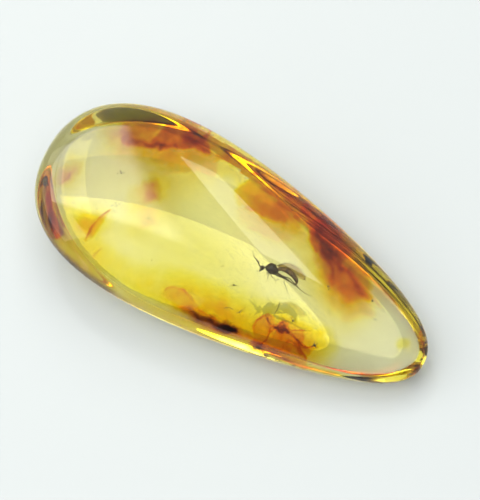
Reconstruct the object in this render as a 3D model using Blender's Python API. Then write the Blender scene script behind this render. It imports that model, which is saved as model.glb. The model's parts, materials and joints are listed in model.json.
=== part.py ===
"""Polished amber nugget: one solid, drop-shaped stone lying on a flat that was ground
on its underside. Metres, +Z up. The long axis runs along X, with the blunt end at -X
and the narrow nose at +X. The origin is on the resting flat, under the middle of the
stone's box."""

import math

import bmesh
import bpy
from mathutils import Matrix, Vector

# Driving dimensions, in metres.
LENGTH = 0.0360
HALF_WIDTH = 0.00738  # at mid-length; the blunt half is a little wider
BOW = 0.00018  # the middle of the long axis stands this far towards +Y of its two tips
DOME_HEIGHT = 0.0040  # top of the dome above the girdle, the stone's widest line
BELLY_DEPTH = 0.0056  # how far the round underside would reach below the girdle, on the centre line
GIRDLE_HEIGHT = 0.0042  # girdle above the resting flat, at mid-length
GIRDLE_RISE = 0.0019  # the girdle climbs by this towards the blunt end, and falls to the nose
GIRDLE_SAG = 0.0003  # both tips sit this much lower than a straight girdle
GIRDLE_LEAN = 0.0012  # the +Y side of the girdle is higher by this, and the -Y side lower

# How the drop narrows. Each is a share of the value at mid-length.
OUTLINE_POWER = 0.89  # under 1 gives tips that are rounder than an ellipse's
TAPER = 0.339  # width lost towards the nose and gained towards the blunt end
END_FULLNESS = 0.126  # extra width near both ends
DOME_TAPER = 0.30
BELLY_TAPER = 0.65
BELLY_FULLNESS = 0.46  # extra depth of the underside near both ends
BELLY_LEAN = 0.40  # the underside is fuller by this on the +Y side, and undercut by it on the -Y side
BELLY_LEAN_TAPER = 0.18  # the lean grows towards the blunt end

SECTIONS = 44  # rings of vertices from tip to tip
RING_POINTS = 72

NODE_NAME = "amber_nugget"
AMBER_COLOUR = (0.90, 0.66, 0.10, 1.0)


def clear_scene():
    for old in list(bpy.data.objects):
        bpy.data.objects.remove(old, do_unlink=True)


def nugget_point(direction):
    """The point of the stone's skin that a direction from the unit sphere's centre becomes."""
    along = max(-1.0, min(1.0, direction.x))
    ring = math.sqrt(1.0 - along * along)
    across, upward = (direction.y / ring, direction.z / ring) if ring > 1e-6 else (0.0, 0.0)
    swell = ring**OUTLINE_POWER
    width = swell * (1.0 - TAPER * along + END_FULLNESS * along**2)
    girdle = GIRDLE_HEIGHT - GIRDLE_RISE * along - GIRDLE_SAG * along**2
    girdle += GIRDLE_LEAN * width * across
    if upward > 0.0:
        height = DOME_HEIGHT * (1.0 - DOME_TAPER * along)
    else:
        height = BELLY_DEPTH * (1.0 - BELLY_TAPER * along + BELLY_FULLNESS * along**2)
        height *= 1.0 + (BELLY_LEAN - BELLY_LEAN_TAPER * along) * across
    return Vector((
        along * LENGTH / 2.0,
        HALF_WIDTH * width * across + BOW * ring**2,
        girdle + height * swell * upward,
    ))


def grind_flat(bm):
    """Cuts off what is under Z = 0 and closes the cut with one flat face, which the stone rests on."""
    everything = bm.verts[:] + bm.edges[:] + bm.faces[:]
    cut = bmesh.ops.bisect_plane(
        bm,
        geom=everything,
        plane_co=(0.0, 0.0, 0.0),
        plane_no=(0.0, 0.0, 1.0),
        clear_inner=True,
    )
    rim = [piece for piece in cut["geom_cut"] if isinstance(piece, bmesh.types.BMEdge)]
    bmesh.ops.contextual_create(bm, geom=rim)


def centre_across(bm):
    """Moves the stone along Y, which its bow has shifted, until its box is centred on X."""
    reach = [vertex.co.y for vertex in bm.verts]
    middle = (max(reach) + min(reach)) / 2.0
    bmesh.ops.translate(bm, verts=bm.verts[:], vec=(0.0, -middle, 0.0))


def make_nugget(collection):
    bm = bmesh.new()
    # The sphere's poles are turned onto X, so that its rings are the stone's cross-sections.
    bmesh.ops.create_uvsphere(
        bm,
        u_segments=RING_POINTS,
        v_segments=SECTIONS,
        radius=1.0,
        matrix=Matrix.Rotation(math.radians(90.0), 4, "Y"),
    )
    for vertex in bm.verts:
        vertex.co = nugget_point(vertex.co)
    centre_across(bm)
    grind_flat(bm)
    bmesh.ops.recalc_face_normals(bm, faces=bm.faces[:])
    mesh = bpy.data.meshes.new(NODE_NAME)
    bm.to_mesh(mesh)
    bm.free()
    mesh.shade_smooth()
    mesh.set_sharp_from_angle(angle=math.radians(20.0))
    nugget = bpy.data.objects.new(NODE_NAME, mesh)
    collection.objects.link(nugget)
    return nugget


def make_amber():
    amber = bpy.data.materials.new("polished_amber")
    amber.use_nodes = True
    shader = amber.node_tree.nodes["Principled BSDF"]
    shader.inputs["Base Color"].default_value = AMBER_COLOUR
    shader.inputs["Metallic"].default_value = 0.0
    shader.inputs["Roughness"].default_value = 0.03
    shader.inputs["IOR"].default_value = 1.54
    shader.inputs["Transmission Weight"].default_value = 1.0
    return amber


def main():
    clear_scene()
    collection = bpy.data.collections.new("insect_in_amber")
    bpy.context.scene.collection.children.link(collection)
    nugget = make_nugget(collection)
    nugget.data.materials.append(make_amber())


main()
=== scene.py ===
import json
import math
import random

import bpy
import numpy as np
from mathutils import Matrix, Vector, noise

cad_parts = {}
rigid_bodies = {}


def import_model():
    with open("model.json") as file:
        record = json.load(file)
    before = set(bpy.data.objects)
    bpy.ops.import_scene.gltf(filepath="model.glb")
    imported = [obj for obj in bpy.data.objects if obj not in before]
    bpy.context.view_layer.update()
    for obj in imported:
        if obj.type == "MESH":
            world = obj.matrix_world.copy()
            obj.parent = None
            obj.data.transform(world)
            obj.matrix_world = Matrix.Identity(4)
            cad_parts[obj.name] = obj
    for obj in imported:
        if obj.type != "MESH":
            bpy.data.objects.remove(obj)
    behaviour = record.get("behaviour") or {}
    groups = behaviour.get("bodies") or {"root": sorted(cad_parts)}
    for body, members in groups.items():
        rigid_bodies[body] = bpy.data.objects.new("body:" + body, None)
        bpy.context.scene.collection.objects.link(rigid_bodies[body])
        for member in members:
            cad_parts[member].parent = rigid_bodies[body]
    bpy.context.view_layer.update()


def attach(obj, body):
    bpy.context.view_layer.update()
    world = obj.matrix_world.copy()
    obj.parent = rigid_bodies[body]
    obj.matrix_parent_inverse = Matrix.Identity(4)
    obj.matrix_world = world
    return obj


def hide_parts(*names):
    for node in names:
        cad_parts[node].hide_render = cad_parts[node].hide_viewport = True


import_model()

mm = 0.001
scene = bpy.context.scene


def deselectAll():
    for obj in bpy.context.view_layer.objects:
        obj.select_set(False)


def pick(obj):
    deselectAll()
    obj.select_set(True)
    bpy.context.view_layer.objects.active = obj


def joinPieces(pieces, name):
    deselectAll()
    for piece in pieces:
        piece.select_set(True)
    bpy.context.view_layer.objects.active = pieces[0]
    bpy.ops.object.join()
    pieces[0].name = name
    pieces[0].data.name = name
    return pieces[0]


def deleteFaces(obj, unwanted):
    pick(obj)
    bpy.ops.object.mode_set(mode="EDIT")
    bpy.ops.mesh.select_mode(type="FACE")
    bpy.ops.mesh.select_all(action="DESELECT")
    bpy.ops.object.mode_set(mode="OBJECT")
    for face in obj.data.polygons:
        face.select = unwanted(face)
    bpy.ops.object.mode_set(mode="EDIT")
    bpy.ops.mesh.delete(type="FACE")
    bpy.ops.object.mode_set(mode="OBJECT")


def hexToLinear(hexValue):
    parts = [int(hexValue[i:i + 2], 16) / 255 for i in (1, 3, 5)]
    return tuple(p / 12.92 if p <= 0.04045 else ((p + 0.055) / 1.055) ** 2.4 for p in parts)


def addNode(tree, kind, settings=None, **links):
    # settings are values of sockets or of the node; a link _0 goes to the first socket, Base_Color by name
    node = tree.nodes.new(kind)
    for key, value in (settings or {}).items():
        if key in node.inputs.keys():
            node.inputs[key].default_value = value
        else:
            setattr(node, key, value)
    for key, source in links.items():
        socket = node.inputs[int(key[1:])] if key[1:].isdigit() else node.inputs[key.replace("_", " ")]
        tree.links.new(source, socket)
    return node


def newMaterial(name):
    material = bpy.data.materials.new(name)
    material.use_nodes = True
    material.node_tree.nodes.clear()
    return material, material.node_tree


# The stone is seen from above and in front, with its nose towards the lower right. Lengths are in mm.
camera = {
    "azimuth": 29.07,
    "elevation": 72.0,
    "distance": 350.0,
    "lens": 201.08,
    "aim": (0.106, 0.499, 4.169),
}


def aroundStone(rightward, away, upward):
    # a direction in the camera's own right / away / up, turned into the stone's axes
    turn = math.radians(camera["azimuth"])
    right = Vector((math.cos(turn), math.sin(turn), 0))
    back = Vector((-math.sin(turn), math.cos(turn), 0))
    return right * rightward + back * away + Vector((0, 0, upward))


def fromBearing(bearing, elevation):
    # bearing 0 is away from the camera, 90 is its right and -90 its left
    turn, lift = math.radians(bearing), math.radians(elevation)
    return aroundStone(math.cos(lift) * math.sin(turn), math.cos(lift) * math.cos(turn), math.sin(lift))


def makeCamera():
    data = bpy.data.cameras.new("studioCamera")
    data.sensor_fit = "VERTICAL"
    data.sensor_height = 24
    data.lens = camera["lens"]
    data.clip_start = 0.01
    obj = bpy.data.objects.new("studioCamera", data)
    scene.collection.objects.link(obj)
    obj.location = (Vector(camera["aim"]) + fromBearing(180, camera["elevation"]) * camera["distance"]) * mm
    obj.rotation_euler = (math.radians(90 - camera["elevation"]), 0, math.radians(camera["azimuth"]))
    scene.camera = obj


makeCamera()

# Soft boxes hang level over the stone. Each is given by the slopes that its edges are seen at from the
# stone: left and right along the camera's right, near and far away from the camera, then its radiance.
studio = {
    "mirroredBoxes": [
        ("leftSoftbox", -1.80, -0.06, -0.44, 1.16, 3.8),
        ("leftSoftboxEdge", -2.70, -1.55, -0.40, 1.10, 3.0),
        ("rightSoftbox", 0.20, 0.385, -0.15, 0.57, 3.2),
    ],
    # the stone's polish doesn't mirror these: they light the floor that is seen through it
    "hiddenBoxes": [
        ("topSoftbox", -0.60, 0.40, -0.60, 0.10, 2.8),
        ("keySoftbox", -0.20, 0.44, 0.42, 1.75, 5.4),
    ],
    "mirroredHeight": 600, "hiddenHeight": 590,
    # the share of the left box over which its light fades out, at each edge
    "fadedBox": "leftSoftbox", "fade": 0.08,
    # upright fills: name, bearing, elevation, distance, width, height, radiance
    "fills": [
        ("frontFill", -135, 25, 600, 500, 260, 0.4),
        ("leftWall", -90, 20, 600, 800, 450, 1.3),
    ],
    "windowBearing": -20, "windowElevation": 45, "windowWidth": 4.0, "windowStrength": 0.45,
    # the room is grey all round, and dim low down on the camera's side
    "roomGrey": 0.6, "frontGrey": 0.12, "dimFrom": 0.72, "dimTo": 0.92,
    "floorHex": "#9CA09F", "floorSize": 3000, "airGap": 0.05,
}


def areaLight(name, width, height, radiance):
    data = bpy.data.lights.new(name, "AREA")
    data.shape = "RECTANGLE"
    data.size = width * mm
    data.size_y = height * mm
    data.energy = radiance * math.pi * data.size * data.size_y
    obj = bpy.data.objects.new(name, data)
    scene.collection.objects.link(obj)
    return obj


def fadeEdges(data):
    # a softbox is brightest in the middle, so its light fades towards each edge
    data.use_nodes = True
    tree = data.node_tree
    place = addNode(tree, "ShaderNodeNewGeometry")
    axes = addNode(tree, "ShaderNodeSeparateXYZ", Vector=place.outputs["Parametric"])
    light = None
    for axis in ("X", "Y"):
        for edge in (0, 1):
            fade = addNode(tree, "ShaderNodeMapRange", {
                "interpolation_type": "SMOOTHSTEP", "From Min": edge,
                "From Max": abs(edge - studio["fade"])}, Value=axes.outputs[axis])
            if light is None:
                light = fade.outputs["Result"]
                continue
            product = addNode(tree, "ShaderNodeMath", {"operation": "MULTIPLY"},
                              _0=fade.outputs["Result"], _1=light)
            light = product.outputs[0]
    tree.links.new(light, tree.nodes["Emission"].inputs["Strength"])


def makeBox(name, left, right, near, far, radiance, height):
    obj = areaLight(name, (right - left) * height, (far - near) * height, radiance)
    obj.location = aroundStone((left + right) / 2, (near + far) / 2, 1) * height * mm
    obj.rotation_euler = (0, 0, math.radians(camera["azimuth"]))
    if name == studio["fadedBox"]:
        fadeEdges(obj.data)
    return obj


def makeFill(name, bearing, elevation, distance, width, height, radiance):
    obj = areaLight(name, width, height, radiance)
    towards = fromBearing(bearing, elevation)
    obj.location = towards * distance * mm
    obj.rotation_euler = (-towards).to_track_quat("-Z", "Y").to_euler()


def makeWindow():
    data = bpy.data.lights.new("window", "SUN")
    data.angle = math.radians(studio["windowWidth"])
    data.energy = studio["windowStrength"]
    obj = bpy.data.objects.new("window", data)
    scene.collection.objects.link(obj)
    towards = fromBearing(studio["windowBearing"], studio["windowElevation"])
    obj.rotation_euler = (-towards).to_track_quat("-Z", "Y").to_euler()
    obj.visible_glossy = False
    obj.visible_transmission = False
    data.cycles.is_caustics_light = True


def makeRoom():
    world = bpy.data.worlds.new("studio")
    world.use_nodes = True
    tree = world.node_tree
    place = addNode(tree, "ShaderNodeTexCoord")
    front = addNode(tree, "ShaderNodeVectorMath", {"operation": "DOT_PRODUCT"}, _0=place.outputs["Generated"])
    front.inputs[1].default_value = aroundStone(0, -1, 0)
    grey = addNode(tree, "ShaderNodeMapRange", {
        "interpolation_type": "SMOOTHSTEP", "From Min": studio["dimFrom"], "From Max": studio["dimTo"],
        "To Min": studio["roomGrey"], "To Max": studio["frontGrey"]}, Value=front.outputs["Value"])
    tree.links.new(grey.outputs["Result"], tree.nodes["Background"].inputs["Color"])
    scene.world = world


def makeFloor():
    deselectAll()
    bpy.ops.mesh.primitive_plane_add(size=studio["floorSize"] * mm, location=(0, 0, -studio["airGap"] * mm))
    floor = bpy.context.object
    floor.name = "paperFloor"
    material, tree = newMaterial("matteWhitePaper")
    shader = addNode(tree, "ShaderNodeBsdfPrincipled", {
        "Base Color": (*hexToLinear(studio["floorHex"]), 1), "Roughness": 0.85, "Specular IOR Level": 0.2})
    addNode(tree, "ShaderNodeOutputMaterial", Surface=shader.outputs[0])
    floor.data.materials.append(material)
    floor.cycles.is_caustics_receiver = True


def makeStudio():
    for box in studio["mirroredBoxes"]:
        makeBox(*box, height=studio["mirroredHeight"])
    for box in studio["hiddenBoxes"]:
        makeBox(*box, height=studio["hiddenHeight"]).visible_glossy = False
    for fill in studio["fills"]:
        makeFill(*fill)
    makeWindow()
    makeRoom()
    makeFloor()
    scene.view_settings.view_transform = "Standard"
    # light turns many corners inside a polished stone
    scene.cycles.max_bounces = 24
    scene.cycles.transmission_bounces = 24
    scene.cycles.glossy_bounces = 12
    scene.cycles.diffuse_bounces = 4
    scene.cycles.transparent_max_bounces = 24


makeStudio()
print("camera and studio ready")


# The stone is a polished drop. Across each ring runs a girdle, with a dome above it and a belly below,
# and the belly is ground flat at height 0. Lengths are in mm.
stone = {
    "length": 36.0, "halfWidth": 7.38, "bow": 0.18,
    "domeHeight": 4.0, "bellyDepth": 5.6,
    "girdleHeight": 4.2, "girdleRise": 1.9, "girdleSag": 0.3, "girdleLean": 1.2,
    "outlinePower": 0.89, "taper": 0.339, "endFullness": 0.126, "domeTaper": 0.30,
    "bellyTaper": 0.65, "bellyFullness": 0.46, "bellyLean": 0.40, "bellyLeanTaper": 0.18,
    "segments": 320, "rings": 220, "edgeRound": 0.16,
}


def ringAt(along):
    # along runs from -1 at the blunt end to 1 at the nose
    ring = math.sqrt(max(0.0, 1 - along * along))
    swell = ring ** stone["outlinePower"]
    width = swell * (1 - stone["taper"] * along + stone["endFullness"] * along ** 2)
    girdle = stone["girdleHeight"] - stone["girdleRise"] * along - stone["girdleSag"] * along ** 2
    return ring, swell, width, girdle


def domeAt(along):
    return stone["domeHeight"] * (1 - stone["domeTaper"] * along)


def bellyAt(along, lean):
    depth = stone["bellyDepth"] * (1 - stone["bellyTaper"] * along + stone["bellyFullness"] * along ** 2)
    return depth * (1 + (stone["bellyLean"] - stone["bellyLeanTaper"] * along) * lean)


def skinPoint(along, turn, shrink=1.0):
    # turn is the angle from +Y up over the dome
    ring, swell, width, girdle = ringAt(along)
    across = math.cos(turn) * shrink
    upward = math.sin(turn) * shrink
    height = domeAt(along) if upward > 0 else bellyAt(along, math.cos(turn))
    return Vector((along * stone["length"] / 2,
                   stone["halfWidth"] * width * across + stone["bow"] * ring ** 2 - sideShift,
                   girdle + stone["girdleLean"] * width * across + height * swell * upward))


# the bow leaves the stone off its long axis, so the middle of its width is put back there
sideShift = 0.0
sides = [skinPoint(step / 200, turn).y for step in range(-199, 200) for turn in (0, math.pi)]
sideShift = (max(sides) + min(sides)) / 2


def groundFlat(height):
    # below the ground plane everything is cut away, and the edge is left slightly rounded
    soft = stone["edgeRound"]
    if height > soft:
        return height
    if height < -soft:
        return 0.0
    return (height + soft) ** 2 / (4 * soft)


def makeStone():
    deselectAll()
    bpy.ops.mesh.primitive_uv_sphere_add(segments=stone["segments"], ring_count=stone["rings"],
                                         radius=1, rotation=(0, math.pi / 2, 0))
    obj = bpy.context.object
    bpy.ops.object.transform_apply(location=False, rotation=True, scale=True)
    for vertex in obj.data.vertices:
        along = max(-1, min(1, vertex.co.x))
        spot = skinPoint(along, math.atan2(vertex.co.z, vertex.co.y))
        spot.z = groundFlat(spot.z)
        vertex.co = spot * mm
    obj.name = "polishedAmber"
    obj.data.shade_smooth()
    return obj


# Baltic amber, ground and polished to a gloss: clear pale yellow that deepens with the light's path
amberFinish = {"tintHex": "#FCF8A8", "density": 115.0, "ior": 1.54, "roughness": 0.0}


def polishedAmberMaterial():
    material, tree = newMaterial("polishedBalticAmber")
    shader = addNode(tree, "ShaderNodeBsdfPrincipled", {
        "Base Color": (1, 1, 1, 1), "Transmission Weight": 1.0, "IOR": amberFinish["ior"],
        "Roughness": amberFinish["roughness"]})
    body = addNode(tree, "ShaderNodeVolumeAbsorption", {
        "Color": (*hexToLinear(amberFinish["tintHex"]), 1), "Density": amberFinish["density"]})
    addNode(tree, "ShaderNodeOutputMaterial", Surface=shader.outputs[0], Volume=body.outputs[0])
    return material


stoneSkin = makeStone()
stoneSkin.data.materials.clear()
stoneSkin.data.materials.append(polishedAmberMaterial())
stoneSkin.cycles.is_caustics_caster = True
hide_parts("amber_nugget")
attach(stoneSkin, "root")
print("stone skin", len(stoneSkin.data.polygons), "faces")


# Iron-brown stain soaked into healed cracks: a thin film that deepens from yellow through orange to
# dark red-brown. Each sheet is a shallow, slightly waved crack at a height and slope, or a skin that
# lies under the wall at that share of its radius, where y counts tens of degrees of turn.
# dabs: x, y, half-length, half-width, turn in degrees, depth of colour
# fills: outline, softness, depth of colour;  strokes: points, half-width, depth of colour
stainSheets = {
    # rust that came in along cracks under the far shoulder
    "upperStain": {
        "height": 4.0, "slope": (0.0, 0.1), "wave": 0.2, "cell": 0.09,
        "dabs": [
            (-11.8, 4.3, 3.8, 2.3, 25, 0.3), (-8.6, 4.0, 3.2, 1.3, 14, 0.26),
            (-13.1, 3.9, 1.9, 1.4, 30, 0.3), (-6.8, 5.3, 2.0, 0.7, 10, 0.14),
        ],
        "fills": [
            (
                [
                    (-13.2, 4.8), (-11.4, 6.0), (-10.5, 5.9), (-10.6, 5.3), (-10.7, 4.6), (-11.3, 4.1),
                    (-12.5, 3.8), (-13.2, 4.0),
                ],
                0.3, 0.5,
            ),
            (
                [
                    (-10.7, 4.5), (-10.4, 5.4), (-10.3, 6.0), (-9.0, 6.5), (-7.0, 6.5), (-6.3, 5.7),
                    (-7.6, 5.3), (-8.9, 4.9), (-9.7, 4.4),
                ],
                0.14, 1.15,
            ),
        ],
        "strokes": [
            ([(-12.5, 3.75), (-11.8, 3.85), (-10.8, 4.1), (-9.7, 4.55), (-8.9, 5.0)], 0.42, 1.3),
            ([(-8.7, 5.9), (-8.0, 5.85), (-7.2, 5.9), (-6.4, 5.7)], 0.44, 1.0),
        ],
    },
    "farStain": {
        "height": 3.0, "slope": (-0.02, 0.3), "wave": 0.12, "cell": 0.1,
        "dabs": [],
        "fills": [
            (
                [
                    (-9.0, 6.1), (-6.6, 6.4), (-4.1, 6.5), (-1.5, 6.4), (2.0, 6.0), (5.3, 5.4),
                    (8.6, 4.4), (8.1, 4.0), (5.3, 4.7), (2.0, 5.3), (-1.5, 5.7), (-4.1, 5.7), (-6.6, 5.6),
                    (-8.8, 5.7),
                ],
                0.26, 0.3,
            ),
        ],
        "strokes": [
            ([(-2.4, 5.75), (-1.6, 5.85), (-0.7, 5.8)], 0.16, 0.9),
            ([(0.9, 5.5), (3.0, 5.2), (5.0, 5.0)], 0.3, 0.8),
        ],
    },
    # small discs where the resin cracked, the first two with a dark line through them
    "leftSpot": {
        "height": 4.0, "slope": (0.3, 0.2), "wave": 0.1, "cell": 0.07,
        "dabs": [(-15.1, -0.7, 2.6, 1.8, 75, 0.2), (-15.1, -0.6, 1.7, 0.9, 62, 0.34)],
        "fills": [],
        "strokes": [([(-15.25, -1.4), (-15.0, -0.7), (-14.75, 0.0)], 0.16, 0.9)],
    },
    "lowerSpot": {
        "height": 3.5, "slope": (0.3, -0.2), "wave": 0.06, "cell": 0.07,
        "dabs": [(-12.0, -2.9, 2.5, 2.0, 20, 0.24), (-11.9, -3.2, 1.8, 1.2, 60, 0.2)],
        "fills": [
            (
                [
                    (-10.9, -1.6), (-11.3, -2.2), (-11.6, -3.0), (-11.6, -3.9), (-11.3, -4.6),
                    (-11.0, -4.2), (-10.9, -3.2), (-10.7, -2.4),
                ],
                0.16, 0.35,
            ),
        ],
        "strokes": [
            ([(-10.8, -1.5), (-11.25, -2.1), (-11.55, -2.9), (-11.55, -3.9), (-11.2, -4.6)], 0.1, 0.9),
        ],
    },
    "middleSpot": {
        "height": 3.0, "slope": (0.0, 0.2), "wave": 0.1, "cell": 0.08,
        "dabs": [(-8.95, 1.3, 2.5, 1.7, 60, 0.26)],
        "fills": [([(-9.7, 1.8), (-8.8, 2.3), (-8.1, 1.2), (-8.9, 0.7)], 0.42, 0.55)],
        "strokes": [],
    },
    # the big stains on the far side, half way along and towards the nose
    "shoulderStain": {
        "height": 3.0, "slope": (0.0, 0.15), "wave": 0.12, "cell": 0.09,
        "dabs": [(0.3, 4.3, 4.4, 1.3, -4, 0.2), (2.0, 4.3, 2.2, 1.0, 0, 0.18)],
        "fills": [
            (
                [
                    (-3.0, 4.3), (-2.9, 4.9), (-2.3, 5.4), (-1.4, 5.6), (0.0, 5.6), (1.4, 5.4),
                    (2.9, 5.1), (2.8, 4.7), (2.0, 4.1), (1.0, 3.8), (-0.1, 3.6), (-1.2, 3.6),
                    (-2.1, 3.75),
                ],
                0.26, 0.52,
            ),
        ],
        "strokes": [
            ([(-1.6, 3.6), (-0.7, 3.7), (0.0, 3.75)], 0.16, 0.5),
            ([(0.6, 5.0), (1.8, 4.9), (3.0, 4.6)], 0.5, 0.25),
        ],
    },
    "noseStain": {
        "height": 2.5, "slope": (-0.03, 0.15), "wave": 0.2, "cell": 0.1,
        "dabs": [(7.4, 2.7, 5.2, 2.9, -25, 0.14), (8.6, 2.3, 3.6, 2.2, -25, 0.16)],
        "fills": [
            (
                [
                    (3.1, 5.2), (4.0, 4.4), (5.1, 3.6), (6.1, 2.8), (7.2, 1.9), (8.6, 1.4), (9.8, 1.4),
                    (10.6, 2.0), (10.7, 2.9), (10.0, 3.8), (8.7, 4.3), (7.0, 4.8), (5.2, 5.2),
                ],
                0.55, 0.5,
            ),
            (
                [(3.4, 4.8), (4.4, 5.3), (6.5, 5.0), (7.7, 4.3), (7.6, 3.5), (6.5, 3.2), (5.2, 3.7)],
                0.45, 1.05,
            ),
        ],
        "strokes": [
            ([(3.9, 4.9), (5.5, 4.4), (7.2, 3.5), (8.8, 2.85), (10.2, 2.35), (11.0, 2.2)], 0.45, 0.8),
            ([(4.6, 4.5), (6.2, 3.6), (7.2, 2.7), (7.8, 2.0)], 0.45, 0.6),
            ([(3.2, 5.1), (4.2, 4.3), (5.3, 3.5)], 0.3, 0.5),
        ],
    },
    # a thin brown fold low on the near side, with a black crust along it
    "bellyStain": {
        "height": 1.2, "slope": (0.0, 0.0), "wave": 0.1, "cell": 0.1,
        "dabs": [
            (-0.6, -3.3, 6.2, 2.2, -2, 0.22), (1.6, -3.4, 3.8, 1.6, -6, 0.16),
            (4.6, -3.8, 2.4, 1.4, 0, 0.16),
        ],
        "fills": [
            (
                [
                    (-4.3, -4.3), (-4.0, -3.6), (-3.5, -3.2), (-2.8, -3.2), (-2.1, -3.5), (-1.2, -4.0),
                    (-1.0, -4.4), (-2.2, -4.7),
                ],
                0.16, 0.26,
            ),
            (
                [
                    (-2.6, -4.5), (-1.4, -4.1), (0.2, -4.1), (1.8, -3.9), (3.2, -3.85), (4.2, -4.1),
                    (3.4, -4.8), (0.0, -4.9),
                ],
                0.3, 0.55,
            ),
            (
                [
                    (-1.4, -4.5), (-0.4, -4.35), (1.2, -4.15), (2.6, -4.0), (3.1, -4.4), (1.5, -4.65),
                    (0.1, -4.7),
                ],
                0.26, 0.6,
            ),
        ],
        "strokes": [
            (
                [(-4.1, -3.8), (-3.5, -3.25), (-2.8, -3.25), (-1.9, -3.6), (-0.9, -4.0), (0.6, -4.1)],
                0.14, 0.5,
            ),
        ],
    },
    "bellyCrust": {
        "film": "dark", "height": 1.25, "slope": (0.0, 0.0), "wave": 0.1, "cell": 0.06,
        "dabs": [(1.9, -4.3, 1.2, 0.6, 4, 0.7), (-0.2, -4.45, 2.6, 0.6, 6, 0.4)],
        "fills": [
            (
                [(0.6, -4.45), (1.4, -4.15), (2.3, -3.95), (2.9, -4.2), (2.6, -4.5), (1.5, -4.6)], 0.24,
                1.0,
            ),
            (
                [(-1.9, -4.25), (-1.1, -4.3), (-0.2, -4.35), (0.6, -4.3), (0.6, -4.5), (-0.6, -4.55)],
                0.14, 0.6,
            ),
        ],
        "strokes": [
            ([(1.4, -4.3), (2.0, -4.2), (2.6, -4.3)], 0.26, 1.4),
            ([(4.5, -4.65), (5.1, -4.55), (5.8, -4.65)], 0.24, 1.6),
            ([(6.8, -4.65), (7.7, -4.55), (8.4, -4.4)], 0.14, 0.9),
        ],
    },
    # a crumpled orange crack beside it
    "crumpledCrack": {
        "height": 2.0, "slope": (0.0, 0.1), "wave": 0.3, "cell": 0.06,
        "dabs": [
            (6.8, -2.9, 5.0, 2.7, -4, 0.3), (6.2, -3.3, 3.2, 1.9, -8, 0.12),
            (9.0, -2.4, 2.4, 1.6, 0, 0.16),
        ],
        "fills": [
            (
                [
                    (4.1, -4.1), (3.9, -3.3), (4.1, -2.7), (4.4, -2.3), (4.9, -2.3), (5.2, -2.8),
                    (5.3, -3.4), (5.4, -4.2), (4.4, -4.5),
                ],
                0.1, 0.38,
            ),
            (
                [
                    (5.4, -4.2), (5.5, -3.5), (5.8, -2.9), (6.3, -2.7), (6.9, -2.9), (7.9, -3.2),
                    (8.9, -3.9), (9.5, -4.7), (7.0, -5.0), (4.4, -4.9), (4.3, -4.5),
                ],
                0.12, 0.36,
            ),
            (
                [
                    (7.0, -2.9), (7.6, -2.3), (8.0, -2.5), (8.1, -3.1), (9.2, -3.2), (9.0, -3.7),
                    (8.0, -3.5),
                ],
                0.14, 0.4,
            ),
            ([(5.3, -2.9), (5.9, -3.1), (6.5, -2.7), (6.3, -2.3), (5.8, -2.4)], 0.16, 0.6),
            ([(4.1, -4.4), (6.1, -4.3), (9.0, -4.4), (9.3, -5.0), (4.3, -5.0)], 0.2, 0.4),
        ],
        "strokes": [
            ([(4.1, -4.1), (3.9, -3.3), (4.1, -2.7), (4.4, -2.3), (5.0, -2.3), (5.3, -2.7)], 0.12, 0.7),
            ([(5.3, -2.7), (5.2, -3.3), (5.35, -4.2), (5.2, -4.8)], 0.12, 0.6),
            (
                [
                    (5.3, -3.5), (5.6, -2.9), (6.2, -2.6), (7.0, -3.0), (8.0, -3.3), (8.8, -3.9),
                    (9.5, -4.8),
                ],
                0.14, 0.8,
            ),
            ([(5.7, -2.8), (6.0, -2.2), (6.2, -1.7)], 0.09, 1.1),
            ([(6.5, -2.9), (7.1, -2.5), (7.7, -2.1)], 0.12, 1.2),
            ([(7.1, -3.1), (8.2, -3.2), (9.4, -3.0)], 0.12, 1.1),
            ([(4.5, -2.6), (4.9, -3.0), (5.3, -3.0)], 0.18, 0.9),
            ([(5.5, -2.9), (6.1, -2.95), (6.5, -2.6)], 0.22, 1.2),
            ([(6.9, -3.5), (7.8, -3.4), (8.4, -3.8)], 0.2, 0.8),
            ([(4.2, -4.7), (6.0, -4.75), (9.3, -4.8)], 0.24, 0.9),
        ],
    },
    # a rusty skin along the far wall
    "farWallStain": {
        "wall": 0.955, "cell": 0.16,
        "dabs": [
            (-4.0, -4.0, 7.5, 4.0, 0, 0.34), (3.5, -4.0, 7.0, 4.0, 0, 0.44),
            (-10.0, -3.5, 5.0, 4.0, 0, 0.3),
        ],
        "fills": [],
        "strokes": [([(-8.0, -3.4), (-2.0, -3.6), (4.0, -3.4), (9.0, -3.0)], 1.2, 0.25)],
    },
    # a brownish skin under the polish on the near side of the blunt half, laid on dark as painted shade that
    # darkens the rim band seen through that wall
    "rimSkinAndPaintedShade": {
        "film": "dark", "wall": 0.975, "cell": 0.12,
        "dabs": [
            (-11.0, -17.4, 6.5, 2.6, 0, 1.2), (-6.0, -17.2, 5.0, 2.0, 0, 0.35),
            (-14.5, -17.0, 3.4, 3.0, 0, 0.6),
        ],
        "fills": [],
        "strokes": [],
    },
    # the clear ends are pale, and the lower middle of the stone holds a faint yellow cloud
    "yellowCloud": {
        "height": 0.8, "slope": (0.0, 0.0), "wave": 0.12, "cell": 0.18,
        "dabs": [
            (-1.0, -3.4, 9.0, 2.2, -1, 0.12), (-11.6, -3.2, 4.5, 1.7, -18, 0.14),
            (-6.5, -3.9, 6.0, 1.4, -2, 0.12), (-3.5, -0.6, 9.0, 3.4, 0, 0.035),
            (4.0, -2.6, 6.5, 2.2, -8, 0.12),
        ],
        "fills": [],
        "strokes": [],
    },
    # one yellow fleck near the nose
    "noseFleck": {
        "height": 1.2, "slope": (0.0, 0.0), "wave": 0.02, "cell": 0.08,
        "dabs": [(15.2, 0.7, 0.85, 0.7, 0, 0.14)],
        "fills": [],
        "strokes": [],
    },
}
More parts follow.
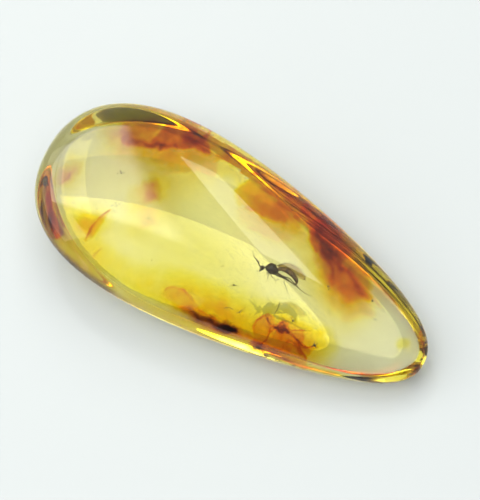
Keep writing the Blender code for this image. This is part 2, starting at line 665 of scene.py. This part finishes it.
stainFinish = {
    # depth of colour, and what is left of white light there
    "iron": [
        (0.0, "#FFFFFF"), (0.12, "#FDF9B4"), (0.3, "#FBEC38"), (0.55, "#F6CE0C"), (0.85, "#EFA904"),
        (1.3, "#DA7E03"), (2.0, "#AE4F04"), (2.8, "#7E2C04"), (4.0, "#421404"),
    ],
    # the dark film carries the black crust of the belly fold, and also the painted shade of the near rim
    "dark": [(0.0, "#FFFFFF"), (0.5, "#C9BA9C"), (1.0, "#8C7450"), (2.0, "#3E2C16"), (4.0, "#0C0804")],
    "deepest": 4.0, "grainMm": 0.9, "grain": 0.30,
    # how a stain's outline wanders: how often per mm, how far in mm, and which layer of the noise
    "wander": [(1.1, 0.22, 3.7), (3.1, 0.08, 9.1)], "wanderSeed": 5,
    # how a crack waves, as shares of its wave: how often per mm, how much, and a step through the noise
    "waves": [(0.55, 1.0, 0), (1.7, 0.3, 5)],
    # a line is strong in places and nearly lost in others
    "lineMean": 0.75, "lineSwing": 0.9, "lineFaintest": 0.15, "linePerMm": 1.3, "lineLayer": 21.3,
    # a dab's middle is deeper than its nominal depth
    "dabCore": 1.4, "margin": 0.4, "faintest": 0.015,
    # a stain stops short of the polished skin, the ground flat and the two ends
    "skinAt": 0.97, "skinFade": 0.05, "flatGap": 0.12, "flatFade": 0.2, "endsAt": 0.985,
    "wallEndsAt": 17.5, "wallLowest": 0.3,
}


def softStep(value):
    value = max(0.0, min(1.0, value))
    return value * value * (3 - 2 * value)


def nearestOnPath(x, y, path):
    # how far the path is, and the nearest place on it
    best = (math.inf, None)
    for (ax, ay), (bx, by) in zip(path, path[1:]):
        dx, dy = bx - ax, by - ay
        share = max(0.0, min(1.0, ((x - ax) * dx + (y - ay) * dy) / (dx * dx + dy * dy)))
        spot = (ax + share * dx, ay + share * dy)
        best = min(best, (math.hypot(x - spot[0], y - spot[1]), spot))
    return best


def insideOutline(x, y, outline):
    crossed = False
    for (ax, ay), (bx, by) in zip(outline, outline[1:] + outline[:1]):
        if (ay > y) != (by > y) and x < ax + (y - ay) * (bx - ax) / (by - ay):
            crossed = not crossed
    return crossed


def paintedDepth(x, y, sheet):
    wander = Vector()
    for perMm, reach, layer in stainFinish["wander"]:
        wander += noise.noise_vector(Vector((x * perMm, y * perMm, layer))) * reach
    x, y = x + wander.x, y + wander.y
    depth = 0.0
    for cx, cy, halfLength, halfWidth, turn, strength in sheet["dabs"]:
        turn = math.radians(turn)
        along = ((x - cx) * math.cos(turn) + (y - cy) * math.sin(turn)) / halfLength
        across = (-(x - cx) * math.sin(turn) + (y - cy) * math.cos(turn)) / halfWidth
        depth += strength * softStep(1 - math.hypot(along, across)) * stainFinish["dabCore"]
    for outline, softness, strength in sheet["fills"]:
        edge = nearestOnPath(x, y, outline + outline[:1])[0]
        if not insideOutline(x, y, outline):
            edge = -edge
        depth += strength * softStep(0.5 + edge / (2 * softness))
    perMm = stainFinish["linePerMm"]
    swing = noise.noise(Vector((x * perMm, y * perMm, stainFinish["lineLayer"])))
    uneven = max(stainFinish["lineFaintest"], stainFinish["lineMean"] + stainFinish["lineSwing"] * swing)
    for path, halfWidth, strength in sheet["strokes"]:
        depth += uneven * strength * softStep(1 - nearestOnPath(x, y, path)[0] / halfWidth)
    return depth


def depthInside(x, y, z):
    # 1 well inside the polished skin, falling to 0 just short of it
    along = 2 * x / stone["length"]
    if abs(along) >= stainFinish["endsAt"]:
        return 0.0
    ring, swell, width, girdle = ringAt(along)
    across = (y + sideShift - stone["bow"] * ring ** 2) / (stone["halfWidth"] * width)
    girdle += stone["girdleLean"] * width * across
    height = domeAt(along) if z > girdle else bellyAt(along, across)
    upward = (z - girdle) / (height * swell)
    fromSkin = (stainFinish["skinAt"] - math.hypot(across, upward)) / stainFinish["skinFade"]
    return softStep(min(fromSkin, (z - stainFinish["flatGap"]) / stainFinish["flatFade"]))


def wallSpot(x, y, sheet):
    along = max(-1, min(1, 2 * x / stone["length"]))
    spot = skinPoint(along, math.radians(y * 10), sheet["wall"])
    seen = spot.z > stainFinish["wallLowest"] and abs(x) < stainFinish["wallEndsAt"]
    return spot, paintedDepth(x, y, sheet) if seen else 0.0


def crackSpot(x, y, sheet, centre):
    wave = 0.0
    for perMm, share, step in stainFinish["waves"]:
        wave += sheet["wave"] * share * noise.noise(Vector((x * perMm, y * perMm, sheet["height"] + step)))
    z = sheet["height"] + sheet["slope"][0] * (x - centre[0]) + sheet["slope"][1] * (y - centre[1]) + wave
    return Vector((x, y, z)), paintedDepth(x, y, sheet) * depthInside(x, y, z)


def makeStainSheet(name, sheet, material):
    spots = [(dab[0], dab[1], max(dab[2], dab[3])) for dab in sheet["dabs"]]
    for path, reach, strength in sheet["fills"] + sheet["strokes"]:
        spots += [(x, y, reach) for x, y in path]
    margin = stainFinish["margin"]
    left = min(x - reach for x, y, reach in spots) - margin
    right = max(x + reach for x, y, reach in spots) + margin
    near = min(y - reach for x, y, reach in spots) - margin
    far = max(y + reach for x, y, reach in spots) + margin
    centre = ((left + right) / 2, (near + far) / 2)
    deselectAll()
    bpy.ops.mesh.primitive_grid_add(x_subdivisions=int((right - left) / sheet["cell"]),
                                    y_subdivisions=int((far - near) / sheet["cell"]), size=1)
    obj = bpy.context.object
    obj.name = name
    depths = []
    for vertex in obj.data.vertices:
        x = vertex.co.x * (right - left) + centre[0]
        y = vertex.co.y * (far - near) + centre[1]
        spot, depth = wallSpot(x, y, sheet) if "wall" in sheet else crackSpot(x, y, sheet, centre)
        vertex.co = spot * mm
        depths.append(depth)
    layer = obj.data.attributes.new("stainDepth", "FLOAT", "POINT")
    layer.data.foreach_set("value", depths)

    def unstained(face):
        around = [depths[v] for v in face.vertices]
        return max(around) < stainFinish["faintest"] or min(around) <= 0

    # the part of the crack that carries no stain can't be seen, so it is trimmed away
    deleteFaces(obj, unstained)
    obj.data.shade_smooth()
    obj.data.materials.append(material)
    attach(obj, "root")
    return obj


def stainMaterial(name, stops):
    material, tree = newMaterial(name)
    depth = addNode(tree, "ShaderNodeAttribute", {"attribute_name": "stainDepth"})
    place = addNode(tree, "ShaderNodeTexCoord")
    grain = addNode(tree, "ShaderNodeTexNoise", {
        "Scale": 1000 / stainFinish["grainMm"], "Detail": 4.0, "Roughness": 0.6,
    }, Vector=place.outputs["Object"])
    # most of the noise lies between 0.3 and 0.7
    vary = addNode(tree, "ShaderNodeMapRange", {
        "From Min": 0.3, "From Max": 0.7,
        "To Min": 1 - stainFinish["grain"], "To Max": 1 + stainFinish["grain"],
    }, Value=grain.outputs["Fac"])
    deepened = addNode(tree, "ShaderNodeMath", {"operation": "MULTIPLY"},
                       _0=depth.outputs["Fac"], _1=vary.outputs["Result"])
    share = addNode(tree, "ShaderNodeMath", {"operation": "DIVIDE"}, _0=deepened.outputs[0])
    share.inputs[1].default_value = stainFinish["deepest"]
    film = addNode(tree, "ShaderNodeValToRGB", Fac=share.outputs[0])
    while len(film.color_ramp.elements) < len(stops):
        film.color_ramp.elements.new(0.5)
    for stop, (depthHere, hexValue) in zip(film.color_ramp.elements, stops):
        stop.position = depthHere / stainFinish["deepest"]
        stop.color = (*hexToLinear(hexValue), 1)
    clear = addNode(tree, "ShaderNodeBsdfTransparent", Color=film.outputs[0])
    addNode(tree, "ShaderNodeOutputMaterial", Surface=clear.outputs[0])
    return material


# without a seed of its own the wander would differ from run to run
noise.seed_set(stainFinish["wanderSeed"])
stainFilms = {kind: stainMaterial(kind + "StainFilm", stainFinish[kind]) for kind in ("iron", "dark")}
for sheetName, sheet in stainSheets.items():
    made = makeStainSheet(sheetName, sheet, stainFilms[sheet.get("film", "iron")])
    print(sheetName, len(made.data.polygons), "faces")


# A dark-winged fungus gnat, about 3.6 mm long, lying on its side in the clear amber. Places are in its own
# millimetres: u runs from head to tail, v from the legs up to the back, w out of its side towards the viewer.
gnat = {
    "centre": (3.633, 0.209, 4.2),
    "u": (0.8868, 0.461, -0.0331),
    "v": (-0.4318, 0.8519, 0.2963),
    "w": (0.1648, -0.2484, 0.9545),
    "abdomenPath": [
        (-0.02, 0.2), (0.4, 0.25), (0.72, 0.18), (1.04, 0.03), (1.33, -0.21), (1.55, -0.47), (1.7, -0.72),
        (1.64, -0.92), (1.45, -1.03),
    ],
    "abdomenRadii": [0.12, 0.18, 0.22, 0.23, 0.21, 0.18, 0.14, 0.09, 0.03],
    "abdomenRings": 8,
    "ringDepth": 0.1,
    "abdomenSteps": 120,
    "beadEvery": 0.085,
    "beadSwell": 1.35,
}
# lumps of the body: centre, half-sizes along u, v and w, and turn in the u-v plane in degrees
gnatLumps = {
    "chest": ((-0.40, 0.25, 0), (0.56, 0.37, 0.34), -14),
    "waist": ((-0.03, 0.12, 0), (0.22, 0.22, 0.24), -20),
    "head": ((-1.17, 0.33, 0), (0.15, 0.20, 0.19), 8),
    "eyeNear": ((-1.18, 0.36, 0.11), (0.12, 0.15, 0.10), 0),
    "eyeFar": ((-1.18, 0.36, -0.11), (0.12, 0.15, 0.10), 0),
    "neck": ((-1.0, 0.34, 0), (0.10, 0.06, 0.06), 0),
    "chestTop": ((-0.62, 0.50, 0), (0.22, 0.14, 0.2), 10),
    "shield": ((-0.16, 0.52, 0), (0.10, 0.09, 0.12), -10),
    "hipNear": ((-0.42, -0.02, 0.12), (0.22, 0.16, 0.12), -10),
    "hipFar": ((-0.22, -0.06, -0.12), (0.22, 0.15, 0.12), -14),
}
# limbs: points (u, v, w) and the radius at each, in mm
gnatLimbs = {
    "feelerNear": (
        [
            (-1.32, 0.42, 0.06), (-1.46, 0.48, 0.08), (-1.55, 0.74, 0.1), (-1.65, 0.89, 0.12),
            (-1.74, 1.0, 0.14), (-1.91, 1.19, 0.16), (-2.01, 1.38, 0.16), (-2.0, 1.58, 0.14),
            (-1.83, 1.71, 0.12), (-1.67, 1.78, 0.1),
        ],
        [0.03, 0.034, 0.03, 0.026, 0.024, 0.021, 0.018, 0.015, 0.012, 0.008],
    ),
    "feelerFar": (
        [
            (-1.3, 0.4, -0.06), (-1.42, 0.5, -0.1), (-1.46, 0.7, -0.14), (-1.57, 0.85, -0.18),
            (-1.69, 0.94, -0.22), (-1.82, 1.09, -0.26), (-1.92, 1.25, -0.3),
        ],
        [0.028, 0.03, 0.027, 0.024, 0.02, 0.016, 0.01],
    ),
    "mouthUpper": ([(-1.24, 0.28, 0.05), (-1.36, 0.22, 0.07), (-1.44, 0.08, 0.06)], [0.05, 0.06, 0.02]),
    "mouthLower": ([(-1.2, 0.22, -0.03), (-1.3, 0.08, -0.02), (-1.4, 0.02, 0.0)], [0.045, 0.05, 0.02]),
    "hindLegNear": (
        [
            (0.0, -0.1, 0.16), (0.3, -0.29, 0.22), (0.67, -0.46, 0.24), (1.14, -0.74, 0.2),
            (1.58, -1.0, 0.16), (2.01, -1.37, 0.12), (2.23, -1.5, 0.1), (2.56, -1.74, 0.1),
            (2.83, -1.78, 0.08), (3.08, -1.87, 0.08),
        ],
        [0.055, 0.085, 0.075, 0.05, 0.035, 0.022, 0.018, 0.016, 0.014, 0.01],
    ),
    "hindLegFar": (
        [
            (0.1, -0.08, -0.12), (0.39, -0.27, -0.2), (0.66, -0.39, -0.26), (1.07, -0.45, -0.3),
            (1.34, -0.72, -0.3), (1.46, -0.86, -0.28), (1.86, -1.16, -0.34),
        ],
        [0.05, 0.065, 0.055, 0.04, 0.028, 0.022, 0.012],
    ),
    "midLegNear": (
        [
            (-0.5, -0.04, 0.14), (-0.39, -0.36, 0.24), (-0.14, -0.51, 0.3), (0.01, -0.68, 0.28),
            (-0.06, -0.96, 0.24),
        ],
        [0.05, 0.035, 0.025, 0.018, 0.01],
    ),
    "midLegFar": (
        [
            (-0.2, -0.1, -0.14), (0.12, -0.36, -0.22), (0.39, -0.4, -0.3), (0.62, -0.48, -0.34),
            (0.69, -0.76, -0.36), (0.77, -1.07, -0.36), (0.93, -1.32, -0.34), (0.96, -1.62, -0.3),
            (1.14, -1.67, -0.26),
        ],
        [0.045, 0.04, 0.028, 0.022, 0.018, 0.015, 0.013, 0.011, 0.008],
    ),
    "foreLegNear": (
        [(-0.62, -0.02, 0.1), (-0.65, -0.34, 0.16), (-0.67, -0.51, 0.18), (-0.81, -0.81, 0.16)],
        [0.045, 0.026, 0.018, 0.01],
    ),
    "foreLegFar": (
        [(-0.74, -0.02, -0.08), (-0.78, -0.18, -0.14), (-0.94, -0.25, -0.16), (-1.0, -0.38, -0.14)],
        [0.035, 0.022, 0.016, 0.01],
    ),
    "looseClaw": ([(0.09, -0.51, 0.1), (0.2, -0.57, 0.12), (0.32, -0.66, 0.1)], [0.014, 0.016, 0.008]),
    "balancer": ([(-0.02, 0.16, 0.26), (0.06, 0.08, 0.34), (0.1, 0.04, 0.38)], [0.014, 0.012, 0.035]),
    "spur": ([(-0.15, 0.56, 0.05), (-0.17, 0.66, 0.08), (-0.16, 0.73, 0.1)], [0.02, 0.014, 0.008]),
}
# both wings have this outline, its leading and trailing edges in u and v, and these veins
gnatWings = {
    "lead": [
        (-0.1, 0.46), (0.33, 0.61), (0.68, 0.74), (1.04, 0.69), (1.5, 0.53), (1.88, 0.27), (2.17, -0.04),
        (2.37, -0.29), (2.49, -0.42),
    ],
    "trail": [(2.24, -0.41), (1.83, -0.31), (1.54, -0.1), (1.16, 0.16), (0.61, 0.33), (0.16, 0.38)],
    "veins": [
        [(0.16, 0.44), (0.61, 0.38), (1.3, 0.24), (1.63, -0.02), (1.83, -0.28)],
        [(0.0, 0.46), (0.5, 0.56), (1.04, 0.55), (1.6, 0.36), (2.1, -0.12), (2.36, -0.36)],
        [(0.61, 0.38), (1.2, 0.4), (1.75, 0.12), (2.1, -0.3)],
    ],
    "veinRadius": 0.011,
    "cell": 0.05,
    # one entry per wing: how far it stands out of the side, and its turn in degrees
    "lifts": [(0.26, 0.0), (0.05, -5.0)],
}


def inGnat(u, v, w):
    return Vector(gnat["centre"]) + Vector(gnat["u"]) * u + Vector(gnat["v"]) * v + Vector(gnat["w"]) * w


def tube(name, points, radii, sides=3):
    # a round tube along the points, thick as the radii say, closed at both ends
    data = bpy.data.curves.new(name, "CURVE")
    data.dimensions = "3D"
    data.bevel_depth = mm
    data.bevel_resolution = sides
    data.resolution_u = 5
    data.use_fill_caps = True
    spline = data.splines.new("NURBS")
    spline.points.add(len(points) - 1)
    spline.order_u = 3
    spline.use_endpoint_u = True
    for point, spot, radius in zip(spline.points, points, radii):
        point.co = (*(Vector(spot) * mm), 1)
        point.radius = radius
    obj = bpy.data.objects.new(name, data)
    scene.collection.objects.link(obj)
    pick(obj)
    bpy.ops.object.convert(target="MESH")
    obj.data.shade_smooth()
    return obj


def limb(name, points, radii, sides=3):
    return tube(name, [inGnat(*spot) for spot in points], radii, sides)


def lump(name, centre, halves, turn=0.0, segments=32, rings=20, shape=None):
    deselectAll()
    bpy.ops.mesh.primitive_uv_sphere_add(segments=segments, ring_count=rings, radius=1)
    obj = bpy.context.object
    obj.name = name
    turn = math.radians(turn)
    for vertex in obj.data.vertices:
        x, y, z = shape(*vertex.co) if shape else vertex.co
        x, y, z = x * halves[0], y * halves[1], z * halves[2]
        vertex.co = inGnat(centre[0] + x * math.cos(turn) - y * math.sin(turn),
                           centre[1] + x * math.sin(turn) + y * math.cos(turn), centre[2] + z) * mm
    obj.data.shade_smooth()
    return obj


def humped(x, y, z):
    # the chest is high over the front legs and drawn out to a blunt point at the neck
    y = y * (1.0 + 0.22 * math.cos(math.pi * (x + 0.25))) if y > 0 else y * 0.95
    bump = 0.03 * noise.noise(Vector((x * 4, y * 4, z * 4)))
    return x * (1 + bump), y * (1 + bump), z * (1 - 0.12 * x) * (1 + bump)


def abdomenPiece():
    # rings of the belly overlap like a telescope, each a little narrower where it slips into the next
    corners = gnat["abdomenPath"]
    reached = [0.0]
    for a, b in zip(corners, corners[1:]):
        reached.append(reached[-1] + math.dist(a, b))
    path, radii = [], []
    for step in range(gnat["abdomenSteps"] + 1):
        share = step / gnat["abdomenSteps"]
        spot = share * reached[-1]
        u = float(np.interp(spot, reached, [corner[0] for corner in corners]))
        v = float(np.interp(spot, reached, [corner[1] for corner in corners]))
        radius = float(np.interp(spot, reached, gnat["abdomenRadii"]))
        phase = (share * gnat["abdomenRings"]) % 1.0
        path.append((u, v, 0.0))
        radii.append(radius * (1 - gnat["ringDepth"] * phase ** 3))
    return limb("abdomen", path, radii, sides=6)


def feelerBeads(name, points, radii):
    # past the first joint, a feeler is a string of short bead-like joints
    made = []
    joints = list(zip(points, radii))
    place = gnat["beadEvery"]
    for (a, radiusA), (b, radiusB) in zip(joints[1:], joints[2:]):
        span = (Vector(b) - Vector(a)).length
        while place < span:
            share = place / span
            radius = (radiusA + (radiusB - radiusA) * share) * gnat["beadSwell"]
            centre = Vector(a).lerp(Vector(b), share)
            made.append(lump(name, centre, (radius, radius, radius), segments=10, rings=6))
            place += gnat["beadEvery"]
        place -= span
    return made


def wingSpot(u, v, lift, turn):
    turn = math.radians(turn)
    ripple = 0.03 * math.sin(u * 5 + v * 9)
    return inGnat(u * math.cos(turn) - v * math.sin(turn), u * math.sin(turn) + v * math.cos(turn),
                  lift + 0.04 * u + ripple)


def wingPiece(number, lift, turn):
    outline = gnatWings["lead"] + gnatWings["trail"]
    left, right = min(u for u, v in outline), max(u for u, v in outline)
    low, high = min(v for u, v in outline), max(v for u, v in outline)
    deselectAll()
    bpy.ops.mesh.primitive_grid_add(x_subdivisions=int((right - left) / gnatWings["cell"]),
                                    y_subdivisions=int((high - low) / gnatWings["cell"]), size=1)
    obj = bpy.context.object
    obj.name = "wing%d" % number
    inside = []
    for vertex in obj.data.vertices:
        u = (vertex.co.x + 0.5) * (right - left) + left
        v = (vertex.co.y + 0.5) * (high - low) + low
        inside.append(insideOutline(u, v, outline))
        if not inside[-1]:
            u, v = nearestOnPath(u, v, outline + outline[:1])[1]
        vertex.co = wingSpot(u, v, lift, turn) * mm
    deleteFaces(obj, lambda face: not any(inside[v] for v in face.vertices))
    bpy.ops.object.mode_set(mode="EDIT")
    bpy.ops.mesh.select_all(action="SELECT")
    bpy.ops.mesh.remove_doubles(threshold=1e-6)
    bpy.ops.object.mode_set(mode="OBJECT")
    obj.data.shade_smooth()
    return obj


def veinPieces(lift, turn):
    made = []
    for path in gnatWings["veins"] + [gnatWings["lead"], gnatWings["trail"]]:
        thick = [gnatWings["veinRadius"]] * len(path)
        if path is gnatWings["lead"]:
            # the leading vein is stout at the root and thins towards the tip
            thick = [radius * (1.8 - 1.2 * k / (len(path) - 1)) for k, radius in enumerate(thick)]
        made.append(tube("vein", [wingSpot(u, v, lift, turn) for u, v in path], thick, sides=1))
    return made


# old chitin is almost black brown, dull with a faint waxy shine; the belly's thinner skin is a mottled brown
chitinFinish = {
    "darkChitin": {
        "hexes": ("#120B06", "#3A2612"), "stops": (0.35, 0.75), "mottleMm": 0.12, "detail": 3.0,
        "roughness": 0.45,
    },
    "brownBellySkin": {
        "hexes": ("#1A1008", "#8A6A3A"), "stops": (0.40, 0.66), "mottleMm": 0.16, "detail": 4.0,
        "roughness": 0.5,
    },
}
# wing skin is clear and barely smoky
wingTintHex = "#EDE0C0"


def chitinMaterial(name):
    finish = chitinFinish[name]
    material, tree = newMaterial(name)
    place = addNode(tree, "ShaderNodeTexCoord")
    mottle = addNode(tree, "ShaderNodeTexNoise", {
        "Scale": 1000 / finish["mottleMm"], "Detail": finish["detail"]}, Vector=place.outputs["Object"])
    colour = addNode(tree, "ShaderNodeValToRGB", Fac=mottle.outputs["Fac"])
    for stop, position, hexValue in zip(colour.color_ramp.elements, finish["stops"], finish["hexes"]):
        stop.position = position
        stop.color = (*hexToLinear(hexValue), 1)
    shader = addNode(tree, "ShaderNodeBsdfPrincipled", {"Roughness": finish["roughness"]},
                     Base_Color=colour.outputs["Color"])
    addNode(tree, "ShaderNodeOutputMaterial", Surface=shader.outputs[0])
    return material


def wingMaterial():
    material, tree = newMaterial("wingMembrane")
    clear = addNode(tree, "ShaderNodeBsdfTransparent", {"Color": (*hexToLinear(wingTintHex), 1)})
    addNode(tree, "ShaderNodeOutputMaterial", Surface=clear.outputs[0])
    return material


def makeGnat():
    pieces = []
    for name, (centre, halves, turn) in gnatLumps.items():
        pieces.append(lump(name, centre, halves, turn, shape=humped if name == "chest" else None))
    belly = abdomenPiece()
    pieces.append(belly)
    for name, (points, radii) in gnatLimbs.items():
        pieces.append(limb(name, points, radii))
        if name.startswith("feeler"):
            pieces += feelerBeads(name, points, radii)
    for lift, turn in gnatWings["lifts"]:
        pieces += veinPieces(lift, turn)
    bodySkin = chitinMaterial("darkChitin")
    bellySkin = chitinMaterial("brownBellySkin")
    wingSkin = wingMaterial()
    for piece in pieces:
        piece.data.materials.clear()
        piece.data.materials.append(bellySkin if piece is belly else bodySkin)
    body = joinPieces(pieces, "gnatBody")
    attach(body, "root")
    for number, (lift, turn) in enumerate(gnatWings["lifts"]):
        wing = wingPiece(number, lift, turn)
        wing.data.materials.append(wingSkin)
        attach(wing, "root")
    return body


gnatBody = makeGnat()
print("gnat", len(gnatBody.data.polygons), "faces")


# Dust, scraps of bark and hair-thin plant threads that the resin caught: x, y, z and size, in mm
motes = {
    "spots": [
        (-11.65, 1.5, 4.0, 0.07), (-11.5, 1.38, 4.05, 0.09), (-11.75, 1.25, 3.95, 0.06),
        (-11.35, 1.52, 4.0, 0.05), (-7.8, -0.7, 4.0, 0.06), (5.9, 0.8, 4.0, 0.07), (7.75, 1.4, 3.0, 0.08),
        (7.9, 1.25, 3.0, 0.06), (-6.0, -3.1, 3.0, 0.06), (11.5, 2.1, 2.6, 0.08), (10.4, -1.6, 2.4, 0.05),
        (-0.6, -1.0, 3.2, 0.05), (0.9, -1.9, 3.0, 0.08), (6.6, -2.1, 2.6, 0.07), (2.4, -3.4, 2.6, 0.06),
        (9.2, -3.0, 2.4, 0.1),
    ],
    "threads": [
        [(9.0, -3.2, 2.4), (9.2, -3.0, 2.45), (9.3, -2.75, 2.4)],
        [(8.95, -2.9, 2.4), (9.2, -3.0, 2.4), (9.45, -3.15, 2.4)],
        [(9.1, -3.3, 2.4), (9.15, -3.0, 2.4), (9.05, -2.7, 2.5)],
        [(0.7, -2.1, 3.0), (0.9, -1.9, 3.0), (1.25, -1.8, 3.1)],
        [(1.1, -3.7, 2.6), (1.4, -3.4, 2.7), (1.8, -3.5, 2.7)],
        [(-0.8, -1.2, 3.2), (-0.6, -0.95, 3.2)],
        [(2.2, -3.6, 2.6), (2.5, -3.3, 2.6), (2.6, -2.9, 2.7)],
        [(6.3, -1.9, 2.6), (6.5, -2.2, 2.6), (6.9, -2.1, 2.6)],
        [(4.8, -1.2, 2.4), (5.0, -1.6, 2.3), (4.9, -2.1, 2.2)],
    ],
    "threadRadius": 0.022,
    "dustCount": 60,
    "dustSize": (0.015, 0.035),
    "dustWithin": ((-15, 14), (-5, 6), (1.0, 6.0)),
    "wellInside": 0.99,
    "roughness": 0.5,
    "roughScale": 9000,
    "seed": 7,
}


def mote(x, y, z, across):
    deselectAll()
    centre = Vector((x, y, z)) * mm
    bpy.ops.mesh.primitive_ico_sphere_add(subdivisions=2, radius=across * mm, location=centre)
    obj = bpy.context.object
    bpy.ops.object.transform_apply(location=True, rotation=False, scale=False)
    for vertex in obj.data.vertices:
        rough = 1 + motes["roughness"] * noise.noise(vertex.co * motes["roughScale"])
        vertex.co = centre + (vertex.co - centre) * rough
    return obj


def makeMotes(skin):
    chance = random.Random(motes["seed"])
    pieces = [mote(*spot) for spot in motes["spots"]]
    while len(pieces) < len(motes["spots"]) + motes["dustCount"]:
        x, y, z = (chance.uniform(*span) for span in motes["dustWithin"])
        if depthInside(x, y, z) > motes["wellInside"]:
            pieces.append(mote(x, y, z, chance.uniform(*motes["dustSize"])))
    for path in motes["threads"]:
        pieces.append(tube("thread", path, [motes["threadRadius"]] * len(path), sides=2))
    made = joinPieces(pieces, "dustAndThreads")
    made.data.materials.clear()
    made.data.materials.append(skin)
    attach(made, "root")
    return made


dust = makeMotes(gnatBody.data.materials[0])
print("dust and threads", len(dust.data.polygons), "faces")
